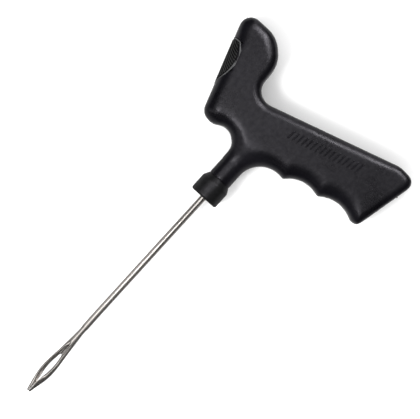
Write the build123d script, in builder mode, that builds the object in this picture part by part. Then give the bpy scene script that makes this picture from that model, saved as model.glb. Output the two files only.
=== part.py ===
"""Tyre plug insertion tool: a pistol-grip handle that holds a split-eye needle.

Tool coordinates: x runs along the needle's axis from the front face of the neck collar (x = 0)
into the handle, y points towards the head of the handle and z is square to its flat sides.
The row frame has the same directions, with its origin under the middle of the tool as it lies
on one side. The functions `level`, `across` and `upright` turn tool coordinates into planes, and
`head_plane` gives the planes square to the head's outer line.
"""

import os
from math import acos, cos, degrees, radians, sin

from build123d import *

# ---------------------------------------------------------------- driving dimensions, mm

# how far a cutter stands past the faces that it cuts
overrun = 2.0

# handle
handle_thickness = 25.0
handle_height = 140.0
half = handle_thickness / 2
edge_radius = 4.8
parting_wall = 6.0
side_wall = 4.0
head_angle = 19.1
palm_angle = 17.05
head_edge_radius = 8.0
head_bar_depth = 60.0
head_bar_lead = 20.0
head_bar_length = 110.0
soft_edge_width = 12.5
soft_edge_height = 9.0
soft_edge_rise = 0.15

# corners of the handle's outline without its finger grooves, with the radius of each
outline_corners = [
    ((38.1, 7.3), 9.3),
    ((38.1, 19.0), 8.0),
    ((34.7, 24.4), 8.0),
    ((35.2, 33.0), 7.0),
    ((95.8, 53.98), 6.8),
    ((95.8, 30.3), 16.0),
    ((85.2, 19.1), 16.0),
    ((61.0, 17.8), 9.2),
    ((88.4, -71.5), 14.0),
    ((87.4, -84.1), 5.2),
    ((47.3, -75.35), 0.0),
    ((44.6, -48.0), 30.0),
    ((38.2, -26.8), 30.0),
]
head_line_foot = (35.2, 33.0)

# finger grooves: centre and radius of each
finger_grooves = [((23.7, -22.5), 15.3), ((28.0, -41.0), 17.8), ((30.6, -61.0), 19.1)]

# crests beside the grooves and the toe of the grip: place and radius of each
crests = [
    ((47.3, -75.35), 2.2),
    ((47.3, -70.4), 1.6),
    ((44.4, -48.0), 1.8),
    ((38.45, -26.6), 1.5),
]

# neck, and the dip of the flat sides down to it
neck_radius = 7.2
neck_front = 13.6
neck_root = 27.0
root_overlap = 4.0
stub_margin = 0.1
dip_end = 45.0
dip_lift = 1.6
dip_lead = 7.2
flare_start = 23.7
flare_radius = 15.3
flare_end_radius = 16.0
spigot_radius = 5.95
spigot_front = 2.0

# collar
collar_radius = 9.0
collar_cylinder_length = 10.4
collar_front_wall = 1.8
collar_edge = 1.4

# needle
needle_radius = 2.0
needle_reach = 148.7
shank_depth = 38.0
shank_chamfer = 0.5
shank_flat_depth = 0.5
shank_flat_front = 3.0
# distance from the collar, half width and half thickness of the eye's oval sections
eye_sections = [
    (100.0, 2.0, 2.0),
    (108.5, 2.1, 1.98),
    (115.5, 2.6, 1.94),
    (124.0, 3.45, 1.88),
    (131.5, 3.95, 1.8),
    (138.5, 3.35, 1.65),
    (144.5, 2.1, 1.4),
    (needle_reach, 1.2, 1.0),
]
eye_slot_front = 139.2
eye_slot_back = 120.0
eye_slot_width = 2.6
tip_slit = 0.5
ramp_start = 112.5
ramp_width = 1.6
ramp_floor = 0.5
ramp_top = 2.1
ramp_overrun = 3.0
running_clearance = 0.05

# needle socket
socket_radius = 4.0
socket_front = 0.4
socket_length = 51.6
socket_bore_end = 38.1
flange_across_flats = 14.0
flange_front = 40.0
flange_length = 4.0

# cross pin and clamp screw
pin_radius = 1.5
pin_length = 17.0
pin_x = 48.0
clamp_x = 7.0
clamp_radius = 2.5
clamp_tip_gap = 0.1
clamp_recess = 0.3
clamp_key = 2.5
clamp_key_depth = 3.0
clamp_hole_gap = 0.1
clamp_chamfer = 0.5
pin_chamfer = 0.3

# shell screws
boss_radius = 4.6
screw_radius = 1.5
screw_head_radius = 3.2
screw_head_height = 2.4
screw_head_level = 8.0
screw_reach = 6.5
screw_end_room = 1.0
screw_slot_width = 0.9
screw_slot_length = 3.6
screw_slot_depth = 1.4
screw_head_edge = 0.8
screw_hole_gap = 0.2
counterbore_radius = 3.5
screw_places = [(86.0, 38.0), (49.0, 26.5), (61.5, -14.5), (63.5, -43.0), (70.0, -69.5)]

# ribs inside the shells
rib_thickness = 2.4
rib_pitch = 15.5
rib_count = 9
rib_reach = 60.0
rib_middle = (64.0, -30.0)
spine_length = 150.0
cavity_roof = half - side_wall
seat_size = (40.0, 19.0)
seat_middle = (38.0, 0.0)

# thumb pad
pad_foot = 18.8
pad_length = 28.2
# places along the head's line from the pad's foot, with the pad's half width
pad_sides = [(6.2, 10.7), (15.0, 11.8), (24.0, 11.0)]
pad_sink = 0.4
pad_thickness = 1.8
pad_reach = 6.8
fit_gap = 0.02

# ---------------------------------------------------------------- handle outline


def draw_outline():
    """Draw the handle's outline, without grooves, in tool coordinates."""
    stub = neck_radius + stub_margin
    points = [(neck_root - root_overlap, stub)]
    points += [corner for corner, _ in outline_corners]
    points += [(neck_root - root_overlap, -stub)]
    radii = [0.0] + [radius for _, radius in outline_corners] + [0.0]
    FilletPolyline(*points, radius=radii, close=True)


with BuildSketch() as envelope:
    with BuildLine():
        draw_outline()
    make_face()

envelope_box = envelope.sketch.bounding_box()
x_middle = (envelope_box.max.X - needle_reach) / 2
y_middle = (envelope_box.max.Y + envelope_box.min.Y) / 2


def level(x, y, z=0.0, turn=0.0):
    """Return a plane parallel to the flat sides, at a place in tool coordinates."""
    x_dir = (cos(radians(turn)), sin(radians(turn)), 0)
    return Plane(origin=(x - x_middle, y - y_middle, z + half), x_dir=x_dir, z_dir=(0, 0, 1))


def across(x):
    """Return the plane square to the needle's axis at x: its own x is the tool's y."""
    return Plane(origin=(x - x_middle, -y_middle, half), x_dir=(0, 1, 0), z_dir=(1, 0, 0))


def upright(y=0.0):
    """Return the plane through the needle's axis, or beside it, that shows x and z."""
    return Plane(origin=(-x_middle, y - y_middle, half), x_dir=(1, 0, 0), z_dir=(0, -1, 0))


def head_plane(along=0.0):
    """Return a plane square to the head's outer line: its x points out of the head, its y along z."""
    a = radians(head_angle)
    x = head_line_foot[0] + along * cos(a)
    y = head_line_foot[1] + along * sin(a)
    return Plane(
        origin=(x - x_middle, y - y_middle, half),
        x_dir=(-sin(a), cos(a), 0),
        z_dir=(cos(a), sin(a), 0),
    )


# ---------------------------------------------------------------- handle form, one solid


def finger_groove(centre, radius):
    """Return a finger groove's cutter, whose rims roll over softly on to the flat sides.

    The rim's oval tops out just above the flat side, so that it meets the side at a slight angle.
    """
    x, y = centre
    rim = half - soft_edge_height
    rim_top = half + soft_edge_rise
    outer = radius + soft_edge_width
    beyond = half + overrun
    axis_foot = level(x, y).origin
    with BuildPart() as cutter:
        with BuildSketch(Plane(origin=axis_foot, x_dir=(1, 0, 0), z_dir=(0, -1, 0))):
            with BuildLine():
                Polyline((outer, rim_top), (outer, beyond), (0, beyond), (0, 0), (radius, 0), (radius, rim))
                EllipticalCenterArc(
                    (outer, rim), soft_edge_width, rim_top - rim, start_angle=90, arc_size=90
                )
            make_face()
            mirror(about=Plane.XZ)
        revolve(axis=Axis(axis_foot, (0, 0, 1)))
    return cutter.part


with BuildPart() as dip:
    # lowers both flat sides towards the round neck, in an S-curve from the neck's root
    dip_span = dip_end - neck_root
    dip_top = half + overrun
    dip_front = neck_root - root_overlap - overrun
    with BuildSketch(upright()):
        with BuildLine():
            Bezier(
                (neck_root, neck_radius),
                (neck_root + dip_span / 3, neck_radius + dip_lift),
                (dip_end - dip_lead, half),
                (dip_end, half),
            )
            Polyline((dip_end, half), (dip_end, dip_top), (dip_front, dip_top))
            Polyline((dip_front, dip_top), (dip_front, neck_radius), (neck_root, neck_radius))
        make_face()
        mirror(about=Plane.XZ)
    extrude(amount=handle_height, both=True)

with BuildPart() as neck_flare:
    # rounds the handle's root to a trumpet that flows into the neck
    flare_turn = degrees(acos(1 - (flare_end_radius - neck_radius) / flare_radius))
    flare_reach = flare_start + flare_radius * sin(radians(flare_turn))
    with BuildSketch(upright()):
        with BuildLine():
            Line((dip_front, neck_radius), (flare_start, neck_radius))
            JernArc((flare_start, neck_radius), (1, 0), flare_radius, flare_turn)
            Polyline((flare_reach, flare_end_radius), (dip_front, flare_end_radius))
            Line((dip_front, flare_end_radius), (dip_front, neck_radius))
        make_face()
    revolve(axis=Axis(level(0, 0).origin, (1, 0, 0)))


def head_bar(inset):
    """Return a long bar with the head's section, drawn in by the inset."""
    with BuildPart() as bar:
        with BuildSketch(head_plane(-head_bar_lead)):
            with Locations((-inset - head_bar_depth / 2, 0)):
                RectangleRounded(head_bar_depth, 2 * (half - inset), head_edge_radius - inset)
        extrude(amount=head_bar_length)
    return bar.part


head_section = head_bar(0)

with BuildPart() as head_rim:
    # what the larger rounding beside the head's outer line takes off
    with BuildSketch(head_plane(-head_bar_lead)):
        with Locations((overrun - head_edge_radius, 0)):
            Rectangle(2 * head_edge_radius, handle_thickness + 2 * overrun)
    extrude(amount=head_bar_length)
    add(head_section, mode=Mode.SUBTRACT)

groove_cutters = [finger_groove(centre, radius) for centre, radius in finger_grooves]

with BuildPart() as handle_form:
    with BuildSketch(level(0, 0, -half)):
        with BuildLine():
            draw_outline()
        make_face()
    extrude(amount=handle_thickness)
    fillet(handle_form.faces().filter_by(Axis.Z).edges(), radius=edge_radius)
    for cutter in groove_cutters:
        add(cutter, mode=Mode.SUBTRACT)
    add(dip.part, mode=Mode.SUBTRACT)
    add(neck_flare.part, mode=Mode.SUBTRACT)
    add(head_rim.part, mode=Mode.SUBTRACT)
    with BuildSketch(across(spigot_front)):
        Circle(spigot_radius)
    extrude(amount=neck_front - spigot_front)
    with BuildSketch(across(neck_front)):
        Circle(neck_radius)
    extrude(amount=neck_root + root_overlap - neck_front)
    for place, radius in crests:
        upright_edges = handle_form.edges().filter_by(Axis.Z)
        fillet(upright_edges.sort_by_distance(level(*place).origin)[0], radius=radius)


# ---------------------------------------------------------------- room inside the handle

with BuildSketch() as cavity_plan:
    # the hollow of each shell, in tool coordinates: walls, ribs, bosses and the socket's seat stay
    with BuildLine():
        draw_outline()
    make_face()
    for groove_centre, groove_radius in finger_grooves:
        with Locations(groove_centre):
            Circle(groove_radius, mode=Mode.SUBTRACT)
    offset(amount=-parting_wall, kind=Kind.INTERSECTION, mode=Mode.REPLACE)
    with Locations(seat_middle):
        Rectangle(*seat_size, mode=Mode.SUBTRACT)
    with Locations(Location(rib_middle, palm_angle)):
        Rectangle(rib_thickness, spine_length, mode=Mode.SUBTRACT)
        with GridLocations(rib_reach, rib_pitch, 1, rib_count):
            Rectangle(rib_reach, rib_thickness, mode=Mode.SUBTRACT)
    with Locations(*screw_places):
        Circle(boss_radius, mode=Mode.SUBTRACT)

with BuildPart() as socket_room:
    # the space for the socket, its flange and its cross pin, cut from both shells
    with BuildSketch(across(0)):
        Circle(socket_radius + running_clearance)
    extrude(amount=socket_front + socket_length + running_clearance)
    with BuildSketch(across(flange_front - running_clearance)):
        RegularPolygon(flange_across_flats / 2 + running_clearance, 6, major_radius=False)
    extrude(amount=flange_length + 2 * running_clearance)
    with BuildSketch(level(pin_x, 0)):
        Circle(pin_radius + fit_gap)
    extrude(amount=pin_length / 2 + running_clearance, both=True)

with BuildPart() as pad_prism:
    # the thumb pad's long oval, sunk square to the head's outer line
    slope = radians(head_angle)
    outward = (-sin(slope), cos(slope), 0)
    pad_start = level(
        head_line_foot[0] + pad_foot * cos(slope), head_line_foot[1] + pad_foot * sin(slope)
    ).origin
    above_head = Plane(origin=pad_start, x_dir=(cos(slope), sin(slope), 0), z_dir=outward).offset(overrun)
    with BuildSketch(above_head):
        with BuildLine():
            Spline((0, 0), *pad_sides, (pad_length, 0), tangents=[(0.25, 1), (0, -1)])
            mirror(about=Plane.XZ)
        make_face()
    extrude(amount=-overrun - pad_reach)

pad_bed = head_bar(pad_sink + pad_thickness)

with BuildPart() as pad_recess:
    # the prism down to the bed that the pad lies on
    add(pad_prism.part)
    add(pad_bed, mode=Mode.SUBTRACT)

# ---------------------------------------------------------------- handle shells

with BuildPart() as upper_shell:
    add(handle_form.part)
    split(bisect_by=level(0, 0), keep=Keep.TOP)
    with BuildSketch(level(0, 0)):
        add(cavity_plan.sketch)
    extrude(amount=cavity_roof, mode=Mode.SUBTRACT)
    add(socket_room.part, mode=Mode.SUBTRACT)
    add(pad_recess.part, mode=Mode.SUBTRACT)
    with BuildSketch(level(0, 0)):
        with Locations(*screw_places):
            Circle(screw_radius + fit_gap)
    extrude(amount=screw_reach + screw_end_room, mode=Mode.SUBTRACT)
    upper_shell.part.label = "handle_shell_upper"

with BuildPart() as lower_shell:
    add(handle_form.part)
    split(bisect_by=level(0, 0), keep=Keep.BOTTOM)
    with BuildSketch(level(0, 0)):
        add(cavity_plan.sketch)
    extrude(amount=-cavity_roof, mode=Mode.SUBTRACT)
    add(socket_room.part, mode=Mode.SUBTRACT)
    add(pad_recess.part, mode=Mode.SUBTRACT)
    with BuildSketch(level(0, 0)):
        with Locations(*screw_places):
            Circle(screw_radius + screw_hole_gap)
    extrude(amount=-handle_thickness, mode=Mode.SUBTRACT)
    with BuildSketch(level(0, 0, -half)):
        with Locations(*screw_places):
            Circle(counterbore_radius)
    extrude(amount=half - screw_head_level, mode=Mode.SUBTRACT)
    with BuildSketch(level(clamp_x, 0)):
        Circle(clamp_radius + clamp_hole_gap)
    extrude(amount=-collar_radius, mode=Mode.SUBTRACT)
    lower_shell.part.label = "handle_shell_lower"

# ---------------------------------------------------------------- thumb pad

with BuildPart() as thumb_pad:
    add(pad_prism.part)
    add(head_bar(pad_sink), mode=Mode.INTERSECT)
    add(pad_bed, mode=Mode.SUBTRACT)
    thumb_pad.part.label = "thumb_pad"

# ---------------------------------------------------------------- neck collar

with BuildPart() as neck_collar:
    with BuildSketch(upright()) as collar_section:
        bore = spigot_radius + running_clearance
        with BuildLine():
            Polyline(
                (0, socket_radius + running_clearance),
                (0, collar_radius),
                (collar_cylinder_length, collar_radius),
                (neck_front, neck_radius),
                (neck_front, bore),
                (collar_front_wall, bore),
                (collar_front_wall, socket_radius + running_clearance),
                close=True,
            )
        make_face()
        rims = collar_section.vertices().group_by(Axis.Y)[-1]
        fillet(rims, radius=collar_edge)
    revolve(axis=Axis(level(0, 0).origin, (1, 0, 0)))
    with BuildSketch(level(clamp_x, 0)):
        Circle(clamp_radius + clamp_hole_gap)
    extrude(amount=-collar_radius - overrun, mode=Mode.SUBTRACT)
    neck_collar.part.label = "neck_collar"

# ---------------------------------------------------------------- needle socket and cross pin

with BuildPart() as needle_socket:
    with BuildSketch(across(socket_front)):
        Circle(socket_radius)
    extrude(amount=socket_length)
    with BuildSketch(across(flange_front)):
        RegularPolygon(flange_across_flats / 2, 6, major_radius=False)
    extrude(amount=flange_length)
    with BuildSketch(across(0)):
        Circle(needle_radius + running_clearance)
    extrude(amount=socket_bore_end, mode=Mode.SUBTRACT)
    with BuildSketch(level(clamp_x, 0)):
        Circle(clamp_radius + running_clearance)
    extrude(amount=-collar_radius, mode=Mode.SUBTRACT)
    with BuildSketch(level(pin_x, 0)):
        Circle(pin_radius + fit_gap)
    extrude(amount=collar_radius, both=True, mode=Mode.SUBTRACT)
    needle_socket.part.label = "needle_socket"

with BuildPart() as cross_pin:
    with BuildSketch(level(pin_x, 0)):
        Circle(pin_radius)
    extrude(amount=pin_length / 2, both=True)
    chamfer(cross_pin.edges().filter_by(GeomType.CIRCLE), length=pin_chamfer)
    cross_pin.part.label = "socket_cross_pin"

# ---------------------------------------------------------------- clamp screw

clamp_tip = needle_radius - shank_flat_depth + clamp_tip_gap
clamp_outer = collar_radius - clamp_recess

with BuildPart() as clamp_screw:
    with BuildSketch(level(clamp_x, 0, -clamp_tip)):
        Circle(clamp_radius)
    extrude(amount=clamp_tip - clamp_outer)
    chamfer(clamp_screw.edges().filter_by(GeomType.CIRCLE), length=clamp_chamfer)
    with BuildSketch(level(clamp_x, 0, -clamp_outer)):
        RegularPolygon(clamp_key / 2, 6, major_radius=False)
    extrude(amount=clamp_key_depth, mode=Mode.SUBTRACT)
    clamp_screw.part.label = "clamp_screw"

# ---------------------------------------------------------------- shell screws

with BuildPart() as shell_screws:
    with BuildSketch(level(0, 0, -screw_head_level - screw_head_height)):
        with Locations(*screw_places):
            Circle(screw_head_radius)
    extrude(amount=screw_head_height)
    outer_rims = shell_screws.faces().group_by(Axis.Z)[0].edges()
    fillet(outer_rims, radius=screw_head_edge)
    with BuildSketch(level(0, 0, -screw_head_level)):
        with Locations(*screw_places):
            Circle(screw_radius)
    extrude(amount=screw_head_level + screw_reach)
    chamfer(shell_screws.faces().group_by(Axis.Z)[-1].edges(), length=pin_chamfer)
    with BuildSketch(level(0, 0, -screw_head_level - screw_head_height)):
        with Locations(*screw_places):
            Rectangle(screw_slot_length, screw_slot_width)
            Rectangle(screw_slot_width, screw_slot_length)
    extrude(amount=screw_slot_depth, mode=Mode.SUBTRACT)
    shell_screws.part.label = "shell_screws"

# ---------------------------------------------------------------- needle

with BuildPart() as needle:
    for distance, half_width, half_depth in eye_sections:
        with BuildSketch(across(-distance)):
            Ellipse(half_width, half_depth)
    loft()
    with BuildSketch(across(-eye_sections[0][0])):
        Circle(needle_radius)
    extrude(amount=eye_sections[0][0] + shank_depth)
    tail_rim = needle.faces().sort_by(Axis.X)[-1].edges()
    chamfer(tail_rim, length=shank_chamfer)
    # the eye: a lens-shaped slot, the slit between the two prong ends and a ramp on each side
    with BuildSketch(level(0, 0)):
        with BuildLine():
            front = (-eye_slot_front, 0)
            back = (-eye_slot_back, 0)
            middle = -(eye_slot_front + eye_slot_back) / 2
            ThreePointArc(front, (middle, eye_slot_width / 2), back)
            ThreePointArc(back, (middle, -eye_slot_width / 2), front)
        make_face()
        with Locations((-eye_slot_front, 0)):
            Rectangle(2 * (needle_reach - eye_slot_front) + overrun, tip_slit)
    extrude(amount=needle_radius + overrun, both=True, mode=Mode.SUBTRACT)
    with BuildSketch(upright()):
        with BuildLine():
            Polyline(
                (-ramp_start, ramp_top),
                (-eye_slot_back - ramp_overrun, ramp_floor),
                (-eye_slot_back - ramp_overrun, ramp_top),
                close=True,
            )
        make_face()
        mirror(about=Plane.XZ)
    extrude(amount=ramp_width / 2, both=True, mode=Mode.SUBTRACT)
    # the flat along the shank that the clamp screw bears on
    with BuildSketch(across(shank_flat_front)):
        with Locations((0, -needle_radius)):
            Rectangle(2 * needle_radius, 2 * shank_flat_depth)
    extrude(amount=shank_depth, mode=Mode.SUBTRACT)
    needle.part.label = "needle"

# ---------------------------------------------------------------- parts

os.makedirs("parts", exist_ok=True)
export_step(upper_shell.part, "parts/handle_shell_upper.step")
export_step(lower_shell.part, "parts/handle_shell_lower.step")
export_step(thumb_pad.part, "parts/thumb_pad.step")
export_step(neck_collar.part, "parts/neck_collar.step")
export_step(needle_socket.part, "parts/needle_socket.step")
export_step(cross_pin.part, "parts/socket_cross_pin.step")
export_step(clamp_screw.part, "parts/clamp_screw.step")
export_step(shell_screws.part, "parts/shell_screws.step")
export_step(needle.part, "parts/needle.step")
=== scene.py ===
"""Looks of a tyre plug insertion tool: moulded pistol-grip handle, steel needle with a split eye.

Lengths in this script are metres in the row frame. The handle's shape is worked out in tool
millimetres, measured from the middle of the collar's front face: x into the handle along the
needle's axis, y towards the head, z square to the flat sides.
"""

import math

import bmesh
import bpy
import numpy as np
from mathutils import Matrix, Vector


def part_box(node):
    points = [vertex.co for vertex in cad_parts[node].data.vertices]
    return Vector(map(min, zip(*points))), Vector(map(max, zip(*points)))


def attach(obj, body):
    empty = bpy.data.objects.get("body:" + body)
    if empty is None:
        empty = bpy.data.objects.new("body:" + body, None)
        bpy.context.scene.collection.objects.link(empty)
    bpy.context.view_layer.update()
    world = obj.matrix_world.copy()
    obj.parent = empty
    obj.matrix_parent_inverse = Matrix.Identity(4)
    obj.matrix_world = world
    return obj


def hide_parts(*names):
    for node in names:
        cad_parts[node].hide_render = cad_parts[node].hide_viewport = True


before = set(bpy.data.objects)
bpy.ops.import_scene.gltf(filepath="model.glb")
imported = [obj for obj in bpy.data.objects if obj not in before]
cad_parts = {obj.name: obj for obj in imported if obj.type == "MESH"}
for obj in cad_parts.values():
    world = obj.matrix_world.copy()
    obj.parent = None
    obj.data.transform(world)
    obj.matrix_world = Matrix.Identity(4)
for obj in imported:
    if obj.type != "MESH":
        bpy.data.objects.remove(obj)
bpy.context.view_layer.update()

MM = 0.001
collar_low, collar_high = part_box("neck_collar")
TOOL = np.array(
    [collar_low.x, (collar_low.y + collar_high.y) / 2, (collar_low.z + collar_high.z) / 2]
)


def to_tool(points):
    """Row frame metres to tool millimetres."""
    return (np.asarray(points, float) - TOOL) / MM


def to_row(points):
    """Tool millimetres to row frame metres."""
    return np.asarray(points, float) * MM + TOOL


# ---------------------------------------------------------------- mesh helpers


def read_points(mesh):
    points = np.empty(len(mesh.vertices) * 3)
    mesh.vertices.foreach_get("co", points)
    return points.reshape(-1, 3)


def write_points(mesh, points):
    mesh.vertices.foreach_set("co", np.asarray(points, np.float32).ravel())
    mesh.update()


def read_normals(mesh):
    normals = np.empty(len(mesh.vertices) * 3)
    mesh.vertices.foreach_get("normal", normals)
    return normals.reshape(-1, 3)


def read_edges(mesh):
    edges = np.empty(len(mesh.edges) * 2, dtype=np.int64)
    mesh.edges.foreach_get("vertices", edges)
    return edges.reshape(-1, 2)


def smooth_shading(mesh):
    mesh.polygons.foreach_set("use_smooth", [True] * len(mesh.polygons))


def welded_copy(node, name):
    """Copy a CAD node's mesh into a new closed mesh object."""
    bm = bmesh.new()
    bm.from_mesh(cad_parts[node].data)
    bmesh.ops.remove_doubles(bm, verts=bm.verts, dist=1e-6)
    mesh = bpy.data.meshes.new(name)
    bm.to_mesh(mesh)
    bm.free()
    piece = bpy.data.objects.new(name, mesh)
    bpy.context.scene.collection.objects.link(piece)
    return piece


def voxel_remesh(piece, size):
    """Remesh a closed piece into even quads."""
    remesh = piece.modifiers.new("remesh", "REMESH")
    remesh.mode = "VOXEL"
    remesh.voxel_size = size
    remesh.use_smooth_shade = True
    graph = bpy.context.evaluated_depsgraph_get()
    mesh = bpy.data.meshes.new_from_object(piece.evaluated_get(graph))
    piece.modifiers.clear()
    old = piece.data
    piece.data = mesh
    bpy.data.meshes.remove(old)
    mesh.name = piece.name
    smooth_shading(mesh)
    return mesh


def relax(points, edges, strength, rounds):
    """Move each point towards the mean of its neighbours, by its own strength, some rounds."""
    count = np.bincount(edges.ravel(), minlength=len(points))[:, None]
    for _ in range(rounds):
        total = np.zeros_like(points)
        for axis in range(3):
            total[:, axis] += np.bincount(
                edges[:, 0], points[edges[:, 1], axis], minlength=len(points)
            )
            total[:, axis] += np.bincount(
                edges[:, 1], points[edges[:, 0], axis], minlength=len(points)
            )
        points = points + (total / np.maximum(count, 1) - points) * strength[:, None]
    return points


def smoothstep(low, high, value):
    t = np.clip((value - low) / (high - low), 0, 1)
    return t * t * (3 - 2 * t)


# ---------------------------------------------------------------- handle outline, from the CAD


HEAD_ANGLE = math.radians(19.1)
HEAD_ALONG = np.array([math.cos(HEAD_ANGLE), math.sin(HEAD_ANGLE), 0.0])
HEAD_OUT = np.array([-math.sin(HEAD_ANGLE), math.cos(HEAD_ANGLE), 0.0])
pad_points = to_tool(read_points(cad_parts["thumb_pad"].data))


def parting_outline():
    """Read the shell's outer outline on the parting plane, as a loop of tool points."""
    bm = bmesh.new()
    bm.from_mesh(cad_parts["handle_shell_upper"].data)
    bmesh.ops.remove_doubles(bm, verts=bm.verts, dist=1e-6)
    level = min(v.co.z for v in bm.verts)
    flat = {f for f in bm.faces if all(abs(v.co.z - level) < 1e-6 for v in f.verts)}
    rim = [e for e in bm.edges if sum(f in flat for f in e.link_faces) == 1]
    nearby = {}
    for edge in rim:
        a, b = edge.verts
        nearby.setdefault(a, []).append(b)
        nearby.setdefault(b, []).append(a)
    start = max(nearby, key=lambda v: v.co.x)
    loop = [start, nearby[start][0]]
    while True:
        step = [v for v in nearby[loop[-1]] if v is not loop[-2]]
        if not step or step[0] is start:
            break
        loop.append(step[0])
    points = to_tool([v.co[:] for v in loop])[:, :2]
    bm.free()
    # the socket's bore opens at the front, so its walls are in the loop too and are left out
    across = np.abs(points[:, 1])
    in_bore = (across < 5.5) | ((points[:, 0] > 35) & (points[:, 0] < 56) & (across < 12))
    start = int(np.argmax(points[:, 0]))
    keep = ~in_bore
    keep[start] = True
    # the thumb pad's pocket is left out as well: the head's outer line runs straight over it
    along, out = points @ HEAD_ALONG[:2], points @ HEAD_OUT[:2]
    span = pad_points @ HEAD_ALONG
    by_pad = (along > span.min() - 0.5) & (along < span.max() + 0.5)
    in_pocket = by_pad & (out < out.max() - 0.12) & (out > out.max() - 4)
    return points[keep & ~in_pocket]


def resample(loop, step):
    """Space a closed loop's points evenly."""
    closed = np.vstack([loop, loop[:1]])
    length = np.concatenate([[0], np.cumsum(np.linalg.norm(np.diff(closed, axis=0), axis=1))])
    at = np.linspace(0, length[-1], int(length[-1] / step), endpoint=False)
    return np.column_stack([np.interp(at, length, closed[:, i]) for i in range(2)])


outline = resample(parting_outline(), 0.6)
following = np.roll(outline, -1, axis=0)
if np.sum(outline[:, 0] * following[:, 1] - outline[:, 1] * following[:, 0]) < 0:
    outline = outline[::-1].copy()

# how the handle's edges are rounded: a place near the outline, then the width of the rounding
# seen from the flat side and its height
EDGE_ROUNDING = [
    ((27.0, -7.2), 7.2, 7.2),
    ((31.0, -8.5), 9.0, 8.2),
    ((38.4, -14.0), 11.5, 9.0),
    ((38.4, -26.8), 11.5, 9.0),
    ((45.8, -41.0), 11.5, 9.0),
    ((46.0, -48.0), 11.5, 9.0),
    ((49.7, -61.0), 11.5, 9.0),
    ((49.0, -71.5), 10.0, 9.0),
    ((49.5, -76.0), 4.5, 5.0),
    ((56.0, -77.5), 4.4, 4.8),
    ((82.0, -83.5), 4.2, 4.6),
    ((88.0, -77.0), 4.0, 4.2),
    ((84.0, -57.0), 4.9, 4.9),
    ((70.0, -10.0), 4.9, 4.9),
    ((66.0, 12.0), 5.2, 5.2),
    ((80.0, 19.0), 5.6, 5.6),
    ((93.0, 30.0), 8.0, 7.0),
    ((95.8, 42.0), 6.0, 6.0),
    ((90.0, 52.0), 7.0, 7.0),
    ((80.0, 48.5), 8.0, 12.0),
    ((50.0, 38.0), 8.0, 12.0),
    ((36.5, 32.5), 11.5, 8.0),
    ((35.0, 24.5), 10.5, 8.0),
    ((38.0, 17.0), 10.5, 8.5),
    ((31.0, 8.5), 9.0, 8.2),
    ((27.0, 7.2), 7.2, 7.2),
]


def rounding_along_outline():
    """Give every outline point its rounding width and height."""
    count = len(outline)
    stops = []
    for place, width, height in EDGE_ROUNDING:
        nearest = int(np.argmin(np.linalg.norm(outline - np.array(place), axis=1)))
        stops.append((nearest, width, height))
    stops.sort()
    at = np.array([s[0] for s in stops] + [stops[0][0] + count, stops[-1][0] - count], float)
    values = np.array([s[1:] for s in stops] + [stops[0][1:], stops[-1][1:]])
    order = np.argsort(at)
    index = np.arange(count)
    return [np.interp(index, at[order], values[order, i]) for i in range(2)]


edge_width, edge_height = rounding_along_outline()

# half the handle's thickness, and where its flat sides dip down to the neck, from first to last
HALF = 12.5
DIP_START, DIP_END = 27.0, 45.0


def dip_table():
    """The S-curve of the flat sides down to the round neck: x and half thickness."""
    t = np.linspace(0, 1, 60)[:, None]
    p = np.array([(27.0, 7.2), (33.0, 8.8), (37.8, 12.5), (45.0, 12.5)])
    near = (1 - t) ** 3 * p[0] + 3 * (1 - t) ** 2 * t * p[1]
    curve = near + 3 * (1 - t) * t**2 * p[2] + t**3 * p[3]
    return curve[:, 0], curve[:, 1]


dip_x, dip_z = dip_table()

GRID_STEP = 0.5
GRID_MARGIN = 3.0
grid_low = outline.min(axis=0) - GRID_MARGIN
grid_shape = tuple(((outline.max(axis=0) + GRID_MARGIN - grid_low) / GRID_STEP).astype(int) + 2)


def outline_grid():
    """On a grid: signed distance inside the outline, and the rounding's width and height."""
    axes = [grid_low[i] + GRID_STEP * np.arange(grid_shape[i]) for i in range(2)]
    places = np.stack(np.meshgrid(*axes, indexing="ij"), axis=-1).reshape(-1, 2)
    a = outline
    b = np.roll(outline, -1, axis=0)
    layers = np.empty((3, len(places)))
    for start in range(0, len(places), 4000):
        p = places[start : start + 4000]
        apart = p[:, None, :] - a[None]
        d = np.sqrt(np.min(np.sum(apart**2, axis=2), axis=1))
        weight = np.exp(-(np.linalg.norm(apart, axis=2) - d[:, None]) / 0.9)
        weight /= weight.sum(axis=1, keepdims=True)
        ab = b - a
        along = np.clip(np.sum(apart * ab[None], axis=2) / np.sum(ab**2, axis=1)[None], 0, 1)
        d = np.sqrt(np.min(np.sum((apart - along[..., None] * ab[None]) ** 2, axis=2), axis=1))
        above = (a[None, :, 1] > p[:, 1:2]) != (b[None, :, 1] > p[:, 1:2])
        rise = np.where(np.abs(ab[:, 1]) < 1e-9, 1e-9, ab[:, 1])
        crossing = a[None, :, 0] + (p[:, 1:2] - a[None, :, 1]) * (ab[:, 0] / rise)[None]
        inside = np.sum(above & (p[:, 0:1] < crossing), axis=1) % 2 == 1
        layers[0, start : start + 4000] = np.where(inside, d, -d)
        layers[1, start : start + 4000] = weight @ edge_width
        layers[2, start : start + 4000] = weight @ edge_height
    return layers.reshape(3, *grid_shape)


grid = outline_grid()
grid_slope = np.stack(np.gradient(grid[0], GRID_STEP))
grid_slope /= np.maximum(np.linalg.norm(grid_slope, axis=0), 0.3)


def sample(layers, xy):
    """Read grid layers at points, between the grid's own points."""
    at = (xy - grid_low) / GRID_STEP
    at = np.clip(at, 0, np.array(grid_shape) - 1.001)
    i, j = at.astype(int).T
    u, v = (at - np.floor(at)).T
    return (
        layers[:, i, j] * (1 - u) * (1 - v)
        + layers[:, i + 1, j] * u * (1 - v)
        + layers[:, i, j + 1] * (1 - u) * v
        + layers[:, i + 1, j + 1] * u * v
    )


# the rounding's cross-section is a superellipse with these powers, across and down the side
PLAN_POWER = 2.1
SIDE_POWER = 2.8


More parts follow.
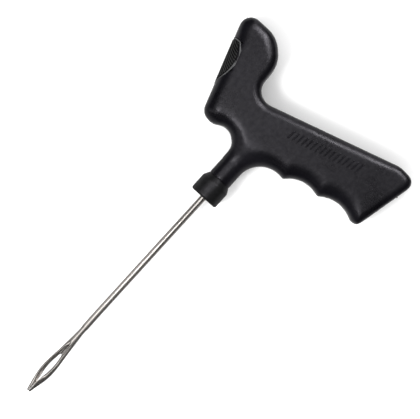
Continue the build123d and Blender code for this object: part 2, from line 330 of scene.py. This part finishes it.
def handle_field(points):
    """Implicit handle surface: value below 0 inside, and its gradient."""
    distance, width, height = sample(grid, points[:, :2])
    inward = sample(grid_slope, points[:, :2]).T
    half = np.interp(points[:, 0], dip_x, dip_z)
    slope = np.gradient(dip_z, dip_x)
    half_slope = np.where(points[:, 0] < DIP_END, np.interp(points[:, 0], dip_x, slope), 0.0)
    height = np.minimum(height, half)
    u = np.clip(1 - distance / width, 0, None)
    v = np.clip((np.abs(points[:, 2]) - (half - height)) / height, 0, None)
    value = u**PLAN_POWER + v**SIDE_POWER - 1
    du = PLAN_POWER * u ** (PLAN_POWER - 1)
    dv = SIDE_POWER * v ** (SIDE_POWER - 1)
    gradient = np.zeros_like(points)
    gradient[:, :2] = -(du / width)[:, None] * inward
    gradient[:, 0] -= dv * half_slope / height
    gradient[:, 2] = dv / height * np.sign(points[:, 2])
    return value, gradient


DIRECTIONS = np.linspace(0, 2 * math.pi, 288, endpoint=False)
DIRECTIONS = np.column_stack([np.cos(DIRECTIONS), np.sin(DIRECTIONS)])


def head_coordinates(points):
    """Places along the head's outer line and across it."""
    return np.column_stack([points @ HEAD_ALONG, points[:, 2]])


# how far the pad's outline reaches in each direction, softened so that its edge has no corners
pad_support = (head_coordinates(pad_points) @ DIRECTIONS.T).max(axis=0)
for _ in range(40):
    pad_support = (np.roll(pad_support, 1) + pad_support + np.roll(pad_support, -1)) / 3
pad_face = pad_points @ HEAD_OUT
PAD_DEPTH = 8.0


def outside_pad(points):
    """Distance outside the thumb pad's long oval: below 0 within it, large away from the head."""
    reach = (head_coordinates(points) @ DIRECTIONS.T - pad_support).max(axis=1)
    return np.where(points @ HEAD_OUT < pad_face.max() - PAD_DEPTH, 99.0, reach)


def settle(points, inset=0.0, rounds=5):
    """Move points on to the handle's surface, or to a skin a little below it."""
    points = points.copy()
    for _ in range(rounds):
        value, gradient = handle_field(points)
        steep = np.linalg.norm(gradient, axis=1)[:, None]
        unit = gradient / np.maximum(steep, 1e-6)
        value, gradient = handle_field(points + inset * unit)
        step = value / np.maximum(np.sum(gradient**2, axis=1), 1e-6)
        points -= np.clip(step[:, None] * gradient, -1.2, 1.2)
    return points


SHELL_VOXEL = 0.55
SKIN_DEPTH = 3.4


def shape_shell(node, name):
    """Refine a CAD shell: its outer skin takes the soft roundings, its inside stays as it is."""
    piece = welded_copy(node, name)
    mesh = voxel_remesh(piece, SHELL_VOXEL * MM)
    points = to_tool(read_points(mesh))
    normals = read_normals(mesh)
    edges = read_edges(mesh)
    value, gradient = handle_field(points)
    steep = np.linalg.norm(gradient, axis=1)
    outward = np.sum(normals * gradient, axis=1) / np.maximum(steep, 1e-6)
    off = np.abs(value) / np.maximum(steep, 1e-6)
    beyond_pad = outside_pad(points)
    skin = (outward > 0.3) & (off < SKIN_DEPTH) & (steep > 0.02) & (beyond_pad > -0.4)
    share = smoothstep(DIP_START, DIP_START + 5, points[:, 0])
    moving = skin & (share > 0)
    moved = settle(points[moving])
    points[moving] += (moved - points[moving]) * share[moving, None]
    seam = smoothstep(0.2, 1.6, np.abs(points[:, 2]))
    calm = 0.6 * seam * smoothstep(0.0, 1.2, beyond_pad)
    points = relax(points, edges, np.where(skin, calm, 0.0), 8)
    write_points(mesh, to_row(points))
    smooth_shading(mesh)
    return piece


# ---------------------------------------------------------------- materials


class Nodes:
    """Short calls that build one material's node tree."""

    def __init__(self, name):
        self.material = bpy.data.materials.new(name)
        self.material.use_nodes = True
        self.tree = self.material.node_tree
        self.shader = self.tree.nodes["Principled BSDF"]
        self.place = self.new("ShaderNodeTexCoord").outputs["Object"]

    def new(self, kind, **settings):
        node = self.tree.nodes.new(kind)
        for key, value in settings.items():
            setattr(node, key, value)
        return node

    def join(self, source, target):
        self.tree.links.new(source, target)

    def scaled(self, scale, turn=(0, 0, 0)):
        mapping = self.new("ShaderNodeMapping")
        mapping.inputs["Scale"].default_value = scale
        mapping.inputs["Rotation"].default_value = turn
        self.join(self.place, mapping.inputs["Vector"])
        return mapping.outputs["Vector"]

    def noise(self, vector, scale, detail=2.0, rough=0.5):
        noise = self.new("ShaderNodeTexNoise")
        noise.inputs["Scale"].default_value = scale
        noise.inputs["Detail"].default_value = detail
        noise.inputs["Roughness"].default_value = rough
        self.join(vector, noise.inputs["Vector"])
        return noise.outputs["Fac"]

    def ramp(self, value, low, high, from_low, from_high):
        ramp = self.new("ShaderNodeMapRange")
        ramp.inputs["From Min"].default_value = from_low
        ramp.inputs["From Max"].default_value = from_high
        ramp.inputs["To Min"].default_value = low
        ramp.inputs["To Max"].default_value = high
        self.join(value, ramp.inputs["Value"])
        return ramp.outputs["Result"]

    def math(self, operation, a, b):
        node = self.new("ShaderNodeMath", operation=operation)
        for value, socket in ((a, node.inputs[0]), (b, node.inputs[1])):
            if isinstance(value, (int, float)):
                socket.default_value = value
            else:
                self.join(value, socket)
        return node.outputs[0]

    def mix(self, factor, a, b):
        mix = self.new("ShaderNodeMix", data_type="RGBA")
        mix.inputs["A"].default_value = (*a, 1)
        mix.inputs["B"].default_value = (*b, 1)
        self.join(factor, mix.inputs["Factor"])
        return mix.outputs["Result"]

    def bump(self, height, depth, strength=1.0, below=None):
        bump = self.new("ShaderNodeBump")
        bump.inputs["Distance"].default_value = depth
        bump.inputs["Strength"].default_value = strength
        self.join(height, bump.inputs["Height"])
        if below is not None:
            self.join(below, bump.inputs["Normal"])
        return bump.outputs["Normal"]


def moulded_plastic(name, dark, light, rough, grain=1.0):
    """Black moulded nylon: fine spark-eroded grain, soft cloudiness, rubbed patches, hairlines."""
    n = Nodes(name)
    cloud = n.noise(n.scaled((1, 1, 1)), 38.0, 3.0, 0.55)
    fine = n.noise(n.scaled((1, 1, 1)), 1500.0, 2.0, 0.6)
    pores = n.noise(n.scaled((1, 1, 1)), 400.0, 2.0, 0.5)
    hairs = n.noise(n.scaled((14, 420, 60), (0, 0, 0.35)), 1.0, 2.0, 0.6)
    marks = n.ramp(hairs, 0.0, 1.0, 0.66, 0.74)
    n.join(n.mix(n.ramp(cloud, 0.0, 1.0, 0.35, 0.68), dark, light), n.shader.inputs["Base Color"])
    base = n.ramp(cloud, rough - 0.035, rough + 0.045, 0.3, 0.7)
    speck = n.ramp(fine, -0.03, 0.03, 0.3, 0.7)
    n.join(n.math("ADD", n.math("ADD", base, speck), n.math("MULTIPLY", marks, 0.07)),
           n.shader.inputs["Roughness"])
    waviness = n.bump(cloud, 0.00034, 0.5)
    poring = n.bump(pores, 0.00012 * grain, 0.5, waviness)
    n.join(n.ramp(pores, 0.41, 0.59, 0.3, 0.7), n.shader.inputs["Specular IOR Level"])
    n.join(n.bump(fine, 0.00003 * grain, 0.6, poring), n.shader.inputs["Normal"])
    n.shader.inputs["IOR"].default_value = 1.5
    n.shader.inputs["Specular Tint"].default_value = (0.95, 0.92, 1.0, 1)
    return n.material


def ribbed_rubber(name, dark, light, shine=0.5):
    """Soft black rubber, dusty in patches."""
    n = Nodes(name)
    dust = n.noise(n.scaled((1, 1, 1)), 160.0, 4.0, 0.6)
    fine = n.noise(n.scaled((1, 1, 1)), 2600.0, 2.0, 0.6)
    n.join(n.mix(n.ramp(dust, 0.0, 1.0, 0.42, 0.75), dark, light), n.shader.inputs["Base Color"])
    n.join(n.ramp(dust, 0.52, 0.66, 0.3, 0.7), n.shader.inputs["Roughness"])
    n.shader.inputs["Specular IOR Level"].default_value = shine
    n.join(n.bump(fine, 0.00003, 0.6), n.shader.inputs["Normal"])
    return n.material


def drawn_steel(name, dark, light, rough, lines=(6, 900, 900)):
    """Drawn steel: fine lines along the rod, light and dark streaks, faint tarnish."""
    n = Nodes(name)
    streak = n.noise(n.scaled(lines), 1.0, 3.0, 0.6)
    scratch = n.noise(n.scaled((lines[0] * 3, lines[1] * 2.6, lines[2] * 2.6)), 1.0, 2.0, 0.6)
    tarnish = n.noise(n.scaled((1, 1, 1)), 120.0, 4.0, 0.6)
    tone = n.math(
        "MULTIPLY", n.ramp(streak, 0.35, 1.0, 0.3, 0.7), n.ramp(tarnish, 0.75, 1.0, 0.3, 0.6)
    )
    n.join(n.mix(tone, dark, light), n.shader.inputs["Base Color"])
    n.join(n.ramp(tarnish, rough + 0.07, rough - 0.03, 0.3, 0.7), n.shader.inputs["Roughness"])
    n.join(n.bump(scratch, 0.00001, 0.5), n.shader.inputs["Normal"])
    n.shader.inputs["Metallic"].default_value = 0.96
    return n.material


def painted_highlight_rim_plastic(name):
    """The pad's smooth, slightly polished border, painted lighter: a painted highlight."""
    n = Nodes(name)
    cloud = n.noise(n.scaled((1, 1, 1)), 400.0, 3.0, 0.6)
    # a grey far lighter than the rubber's: painted highlight on the rim
    colour = n.mix(cloud, (0.040, 0.040, 0.042), (0.080, 0.080, 0.082))
    n.join(colour, n.shader.inputs["Base Color"])
    n.join(n.ramp(cloud, 0.30, 0.42, 0.3, 0.7), n.shader.inputs["Roughness"])
    n.join(n.bump(cloud, 0.00002, 0.5), n.shader.inputs["Normal"])
    return n.material


def floor_paper():
    n = Nodes("floor_paper")
    n.shader.inputs["Base Color"].default_value = (0.95, 0.95, 0.95, 1)
    n.shader.inputs["Roughness"].default_value = 0.9
    n.shader.inputs["Specular IOR Level"].default_value = 0.1
    return n.material


handle_black = moulded_plastic(
    "handle_black_nylon", (0.0021, 0.0020, 0.0030), (0.0037, 0.0035, 0.0054), 0.30
)
collar_black = moulded_plastic(
    "collar_black_nylon", (0.0042, 0.0045, 0.0044), (0.0068, 0.0072, 0.0070), 0.42, 1.5
)
pad_black = ribbed_rubber("pad_black_rubber", (0.009, 0.009, 0.0095), (0.018, 0.018, 0.0185))
# the pad's rim is painted lighter than the rubber, a painted highlight
pad_rim_highlight = painted_highlight_rim_plastic("pad_rim_painted_highlight")
# the grooves between the pad's ridges: much darker rubber that reflects little, painted shade
groove_shade_rubber = ribbed_rubber(
    "pad_groove_painted_shade", (0.0012, 0.0012, 0.0014), (0.0026, 0.0026, 0.0028), 0.08
)
needle_steel = drawn_steel("needle_drawn_steel", (0.58, 0.54, 0.505), (0.90, 0.85, 0.81), 0.22)
socket_steel = drawn_steel(
    "socket_turned_steel", (0.30, 0.29, 0.28), (0.56, 0.55, 0.54), 0.30, (500, 20, 20)
)
screw_steel = drawn_steel(
    "screw_black_oxide", (0.030, 0.030, 0.033), (0.085, 0.085, 0.09), 0.34, (60, 60, 60)
)


def paint(thing, material):
    thing.data.materials.clear()
    thing.data.materials.append(material)


def paint_node(node, material):
    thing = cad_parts[node]
    for index in range(len(thing.material_slots)):
        thing.material_slots[index].material = material


# ---------------------------------------------------------------- the pieces

SKINS = {"handle_shell_upper": "shell_upper_skin", "handle_shell_lower": "shell_lower_skin"}
for node, name in SKINS.items():
    shell = shape_shell(node, name)
    paint(shell, handle_black)
    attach(shell, "handle")
    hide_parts(node)


def new_piece(name, bm, material):
    """Turn a built mesh into a smooth-shaded piece."""
    bmesh.ops.recalc_face_normals(bm, faces=bm.faces)
    mesh = bpy.data.meshes.new(name)
    bm.to_mesh(mesh)
    bm.free()
    smooth_shading(mesh)
    piece = bpy.data.objects.new(name, mesh)
    bpy.context.scene.collection.objects.link(piece)
    paint(piece, material)
    return piece


PAD_RINGS = 60
PAD_SPOKES = 264
PAD_OVERLAP = 0.12
PAD_THICKNESS = 1.6
RIDGE_PITCH = 1.7
RIM_HIGHLIGHT_WIDTH = 0.42


def on_head(along_and_z):
    """Places on the handle's surface, straight below the given places along and across the head."""
    base = along_and_z[:, :1] * HEAD_ALONG + along_and_z[:, 1:] * np.array([0.0, 0.0, 1.0])
    high = np.full(len(base), pad_face.max() + 1.5)
    low = high - PAD_DEPTH
    for _ in range(22):
        middle = (low + high) / 2
        value, _ = handle_field(base + middle[:, None] * HEAD_OUT)
        low = np.where(value < 0, middle, low)
        high = np.where(value < 0, high, middle)
    return base + low[:, None] * HEAD_OUT


def shape_pad():
    """The thumb pad: its face follows the head, with fine slanting ridges inside a border.
    The border is painted lighter, a painted highlight; the grooves darker, painted shade.
    """
    centre = head_coordinates(pad_points).mean(axis=0)
    centre[1] = 0.0
    turn = np.linspace(0, 2 * math.pi, PAD_SPOKES, endpoint=False)
    spokes = np.column_stack([np.cos(turn), np.sin(turn)])
    facing = np.maximum(spokes @ DIRECTIONS.T, 1e-3)
    length = ((pad_support - DIRECTIONS @ centre) / facing).min(axis=1) + PAD_OVERLAP
    share = np.linspace(1, 0, PAD_RINGS + 1)[:-1] ** 0.8
    plan = centre + spokes[None] * (length[None, :] * share[:, None])[..., None]
    plan = np.vstack([plan.reshape(-1, 2), centre])
    top = on_head(plan)
    _, gradient = handle_field(top)
    unit = gradient / np.maximum(np.linalg.norm(gradient, axis=1), 1e-6)[:, None]
    outward = DIRECTIONS[(plan @ DIRECTIONS.T - pad_support).argmax(axis=1)]
    # a step across the head is longer on the surface where the surface leans over
    upright = np.hypot(unit[:, 0], unit[:, 1])
    reach = outside_pad(top) / np.maximum(np.hypot(outward[:, 0], outward[:, 1] * upright), 0.1)
    depth = np.clip(top[-1] @ HEAD_OUT - top @ HEAD_OUT, 0, None)
    phase = (plan[:, 0] - centre[0] + 0.55 * (np.abs(plan[:, 1]) + 0.75 * depth)) / RIDGE_PITCH
    ridge = 0.5 + 0.5 * np.cos(2 * math.pi * phase)
    inner = smoothstep(0.7, 1.3, -reach)
    border = np.exp(-(((reach + 0.05) / 0.30) ** 2))
    gully = np.exp(-(((reach + 0.80) / 0.32) ** 2))
    top = top + (0.02 + 0.34 * ridge * inner + 0.26 * border - 0.22 * gully)[:, None] * unit
    under = top - PAD_THICKNESS * unit
    bm = bmesh.new()
    layers = [[bm.verts.new(point) for point in to_row(face)] for face in (top, under)]
    for flip, verts in enumerate(layers):
        for ring in range(PAD_RINGS):
            for a in range(PAD_SPOKES):
                b = (a + 1) % PAD_SPOKES
                here = [verts[ring * PAD_SPOKES + a], verts[ring * PAD_SPOKES + b]]
                if ring + 1 < PAD_RINGS:
                    here += [verts[(ring + 1) * PAD_SPOKES + b], verts[(ring + 1) * PAD_SPOKES + a]]
                else:
                    here += [verts[-1]]
                bm.faces.new(here[::-1] if flip else here)
    for a in range(PAD_SPOKES):
        b = (a + 1) % PAD_SPOKES
        bm.faces.new((layers[0][b], layers[0][a], layers[1][a], layers[1][b]))
    piece = new_piece("thumb_pad_ribbed", bm, pad_black)
    piece.data.materials.append(pad_rim_highlight)
    piece.data.materials.append(groove_shade_rubber)
    # 0 the rubber, 1 its rim, a painted highlight, 2 the grooves between ridges, painted shade
    rubber_highlight_or_shade = np.where(reach > -RIM_HIGHLIGHT_WIDTH, 1, np.where(ridge * inner < 0.45, 2, 0))
    rubber_highlight_or_shade = np.tile(rubber_highlight_or_shade, 2)
    corners = np.empty(len(piece.data.loops), dtype=np.int64)
    piece.data.loops.foreach_get("vertex_index", corners)
    starts = np.empty(len(piece.data.polygons), dtype=np.int64)
    piece.data.polygons.foreach_get("loop_start", starts)
    piece.data.polygons.foreach_set("material_index", rubber_highlight_or_shade[corners[starts]].astype(np.int32))
    return piece


pad = shape_pad()
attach(pad, "handle")
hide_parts("thumb_pad")


# distance from the collar, half width and half thickness of the needle's eye
EYE_SECTIONS = np.array([
    (100.0, 2.0, 2.0),
    (108.5, 2.1, 1.98),
    (115.5, 2.6, 1.94),
    (124.0, 3.45, 1.88),
    (131.5, 3.95, 1.8),
    (138.5, 3.35, 1.65),
    (144.5, 2.1, 1.4),
    (148.7, 1.2, 1.0),
])

# distance from the collar, half width of the slot, how much its walls lean outwards and how much
# its upper edges are dished
EYE_WALLS = np.array([
    (111.0, 0.4, 0.0, 0.0),
    (116.0, 0.8, 0.5, 0.45),
    (121.0, 1.0, 0.7, 0.8),
    (126.0, 1.3, 1.0, 1.0),
    (136.0, 1.1, 0.7, 1.0),
    (139.5, 0.7, 0.0, 1.0),
    (141.5, 0.5, -0.35, 0.7),
    (144.0, 0.3, -0.25, 0.5),
    (148.7, 0.25, -0.22, 0.2),
])
NEEDLE_VOXEL = 0.16
LEFT_LEAN, RIGHT_LEAN = 1.0, -0.75
LEFT_DISH, RIGHT_DISH = 1.7, 0.45
EYE_BEND = 0.45


def shape_needle():
    """The needle: a true round rod, then a softened eye with leaning walls, bent a little."""
    piece = welded_copy("needle", "needle_drawn")
    mesh = voxel_remesh(piece, NEEDLE_VOXEL * MM)
    points = to_tool(read_points(mesh))
    edges = read_edges(mesh)
    x = points[:, 0]
    wide = np.interp(-x, EYE_SECTIONS[:, 0], EYE_SECTIONS[:, 1])
    deep = np.interp(-x, EYE_SECTIONS[:, 0], EYE_SECTIONS[:, 2])
    reach = np.hypot(points[:, 1] / wide, points[:, 2] / deep)
    rod = (x < -0.5) & (np.abs(reach - 1) < 0.06) & (x > -EYE_SECTIONS[0, 0])
    eye = x <= -EYE_SECTIONS[0, 0]
    points[rod, 1:] /= reach[rod, None]
    wall = np.interp(-x, EYE_WALLS[:, 0], EYE_WALLS[:, 1])
    side = np.abs(points[:, 1])
    fall = np.clip((wide - side) / np.maximum(wide - wall, 0.3), 0, 1) * smoothstep(0.0, 0.3, side)
    open_up = fall * np.interp(-x, EYE_WALLS[:, 0], EYE_WALLS[:, 2]) * eye
    dish = fall * np.interp(-x, EYE_WALLS[:, 0], EYE_WALLS[:, 3]) * eye
    upper = np.clip(points[:, 2] / deep, -1, 1)
    left = points[:, 1] > 0
    lean = np.where(left, LEFT_LEAN, RIGHT_LEAN) * open_up
    points[:, 1] += lean * np.where(open_up < 0, 1.0, 0.5 + 0.5 * upper)
    sink = np.where(left, LEFT_DISH * dish, RIGHT_DISH * np.clip(open_up, 0, None))
    points[:, 2] -= sink * np.clip(upper, 0, 1)
    points = relax(points, edges, np.where(eye, 0.4, 0.0), 4)
    points[:, 1] -= EYE_BEND * (1 - smoothstep(-124, -84, x))
    write_points(mesh, to_row(points))
    smooth_shading(mesh)
    paint(piece, needle_steel)
    return piece


needle = shape_needle()
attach(needle, "needle")
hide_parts("needle")


def skin_rings(bm, rings):
    """Join rings of vertices, each as long as the others, into a closed strip with end caps."""
    for a, b in zip(rings, rings[1:]):
        for k in range(len(a)):
            m = (k + 1) % len(a)
            bm.faces.new((a[k], a[m], b[m], b[k]))
    bm.faces.new(rings[0])
    bm.faces.new(list(reversed(rings[-1])))


def side_ribs():
    """A row of low slanting ribs on the grip's upper side, beside the palm edge."""
    start, end = np.array([59.8, -13.0]), np.array([72.1, -54.4])
    row = (end - start) / np.linalg.norm(end - start)
    side = np.array([-row[1], row[0]])
    slant = side * math.cos(0.38) + row * math.sin(0.38)
    count, half_length, half_width = 16, 3.3, 0.62
    # across a rib: side and height; along a rib: place and how much of its full size it has
    profile = [(-1.0, -0.3), (-0.8, 0.04), (-0.4, 0.16), (0.4, 0.16), (0.8, 0.04), (1.0, -0.3)]
    swells = [(-1.0, 0.35), (-0.88, 0.8), (-0.7, 1.0), (0.7, 1.0), (0.88, 0.8), (1.0, 0.35)]
    bm = bmesh.new()
    for index in range(count):
        middle = start + (end - start) * index / (count - 1)
        rings = []
        for t, swell in swells:
            ring = []
            for u, h in profile:
                x, y = middle + slant * t * half_length + row * u * half_width * swell
                z = HALF + (h if h < 0 else h * swell)
                ring.append(bm.verts.new(to_row([x, y, z])))
            rings.append(ring)
        skin_rings(bm, rings)
    return new_piece("grip_side_ribs", bm, handle_black)


def parting_flash():
    """Ragged moulding flash along the butt's parting line, and the gate's nib on the head."""
    draw = np.random.default_rng(11)
    bm = bmesh.new()
    tangent = np.roll(outline, -1, axis=0) - np.roll(outline, 1, axis=0)
    tangent /= np.linalg.norm(tangent, axis=1)[:, None]
    outward = np.column_stack([tangent[:, 1], -tangent[:, 0]])

    def fin(first, last, heights, thick):
        """A thin closed strip on the outline from one point to another, with the given heights."""
        crest = thick * 0.35
        rings = []
        for k, index in enumerate(range(first, last)):
            place = outline[index % len(outline)]
            out = outward[index % len(outline)]
            tall = heights[k]
            ring = []
            for reach, z in ((-0.5, -thick), (tall, -crest), (tall, crest), (-0.5, thick)):
                x, y = place + out * reach
                ring.append(bm.verts.new(to_row([x, y, z])))
            rings.append(ring)
        skin_rings(bm, rings)

    def nearest(x, y):
        return int(np.argmin(np.linalg.norm(outline - np.array([x, y]), axis=1)))

    first, last = sorted((nearest(55.0, -77.0), nearest(84.0, -83.4)))
    count = last - first
    ragged = 0.04 + 0.10 * draw.random(count)
    for _ in range(9):
        middle = int(draw.integers(3, count - 3))
        ragged[middle] += 0.25 + 0.3 * draw.random()
        ragged[middle + 1] += 0.15 * draw.random()
    ragged[0] = ragged[-1] = 0.0
    fin(first, last, ragged, 0.16)
    nib = nearest(93.0, 50.6)
    fin(nib - 2, nib + 3, [0.0, 0.35, 0.75, 0.3, 0.0], 0.4)
    return new_piece("parting_flash", bm, handle_black)


for detail in (side_ribs(), parting_flash()):
    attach(detail, "handle")

paint_node("neck_collar", collar_black)
paint_node("needle_socket", socket_steel)
paint_node("socket_cross_pin", socket_steel)
paint_node("clamp_screw", screw_steel)
paint_node("shell_screws", screw_steel)

# ---------------------------------------------------------------- floor, lights, camera


def studio_disc(name, material):
    """A large round sheet at floor level."""
    bm = bmesh.new()
    bmesh.ops.create_circle(bm, cap_ends=True, segments=96, radius=4.0)
    mesh = bpy.data.meshes.new(name)
    bm.to_mesh(mesh)
    bm.free()
    thing = bpy.data.objects.new(name, mesh)
    bpy.context.scene.collection.objects.link(thing)
    paint(thing, material)
    return thing


def painted_reflection_glow():
    """A glowing sheet that only glossy rays see, in place of the floor: a painted floor reflection,
    dim at the needle's end, brighter behind the handle and beside the needle."""
    n = Nodes("painted_floor_reflection")
    split = n.new("ShaderNodeSeparateXYZ")
    n.join(n.place, split.inputs["Vector"])
    glow = n.new("ShaderNodeEmission")
    # the painted reflection's brightness: rising along x towards the handle, and a band beside the
    # needle
    along = n.ramp(split.outputs["X"], 0.03, 0.7, -0.12, 0.16)
    beside = n.math("MULTIPLY", n.ramp(split.outputs["Y"], 0.02, 0.19, 0.020, 0.040),
                    n.ramp(split.outputs["X"], 1.0, 0.0, -0.055, -0.02))
    n.join(n.math("ADD", along, beside), glow.inputs["Strength"])
    n.join(glow.outputs["Emission"], n.tree.nodes["Material Output"].inputs["Surface"])
    n.material.cycles.emission_sampling = "NONE"
    return n.material


# the floor is hidden from reflections; glossy surfaces see the glowing sheet below it, a painted
# reflection
studio_disc("studio_floor", floor_paper()).visible_glossy = False
reflection_sheet = studio_disc("painted_reflection_sheet", painted_reflection_glow())
reflection_sheet.location.z = -0.001
reflection_sheet.visible_camera = False
reflection_sheet.visible_diffuse = False
reflection_sheet.visible_transmission = False
reflection_sheet.visible_shadow = False

# the middle of the camera's view, on the handle's and needle's middle plane
target = Vector((0.02415, 0.00834, 0.0125))


def area_light(name, lean_x, lean_y, distance, size_x, size_y, power, aim=target):
    """A soft panel that faces a point, off the vertical by degrees along the row's x and y."""
    data = bpy.data.lights.new(name, "AREA")
    data.shape = "RECTANGLE"
    data.size = size_x
    data.size_y = size_y
    data.energy = power
    lamp = bpy.data.objects.new(name, data)
    bpy.context.scene.collection.objects.link(lamp)
    slopes = math.tan(math.radians(lean_x)), math.tan(math.radians(lean_y))
    direction = Vector((*slopes, 1)).normalized()
    lamp.location = aim + direction * distance
    lamp.rotation_euler = direction.to_track_quat("Z", "Y").to_euler()
    lamp.visible_camera = False
    return lamp


# places on the tool that the close panels face
nose = Vector(to_row([45.0, 24.0, HALF]))
needle_middle = Vector(to_row([-72.0, 0.0, 0.0]))
needle_outer = Vector(to_row([-90.0, 0.0, 0.0]))
neck_middle = Vector(to_row([14.0, 0.0, 8.0]))

# the panels that give the highlights; matt surfaces don't see them
highlights = (
    area_light("key_panel", -12, 8, 0.6, 0.28, 0.44, 0.53),
    area_light("smudge_panel", -30, 4, 0.2, 0.045, 0.06, 0.034, nose),
    area_light("needle_panel", 0, 45, 0.1, 0.09, 0.13, 0.0165, needle_middle),
    area_light("needle_fill", 0, -28, 0.08, 0.08, 0.06, 0.0026, needle_outer),
    area_light("neck_panel", 0, 30, 0.1, 0.045, 0.06, 0.009, neck_middle),
    area_light("edge_panel", 36, -2, 1.0, 0.12, 0.62, 3.5),
    area_light("side_card", 79, 50, 1.0, 0.28, 0.8, 0.65),
)
for lamp in highlights:
    lamp.visible_diffuse = False
# the panel that gives the soft shadow; glossy surfaces don't see it
area_light("shadow_panel", -28, 15, 1.1, 0.34, 0.34, 9.0).visible_glossy = False

world = bpy.data.worlds.new("studio")
bpy.context.scene.world = world
world.use_nodes = True
world.node_tree.nodes["Background"].inputs["Color"].default_value = (1, 1, 1, 1)
world.node_tree.nodes["Background"].inputs["Strength"].default_value = 1.35
world.cycles_visibility.glossy = False

camera_data = bpy.data.cameras.new("camera")
camera = bpy.data.objects.new("camera", camera_data)
bpy.context.scene.collection.objects.link(camera)
CAMERA_DISTANCE = 1.2
FRAME_WIDTH = 0.240
CAMERA_TURN = -47.64
camera_data.sensor_width = 36.0
camera_data.lens = 36.0 * CAMERA_DISTANCE / FRAME_WIDTH
camera.location = target + Vector((0, 0, CAMERA_DISTANCE))
camera.rotation_euler = (0, 0, math.radians(CAMERA_TURN))
bpy.context.scene.camera = camera
bpy.context.scene.view_settings.view_transform = "Standard"
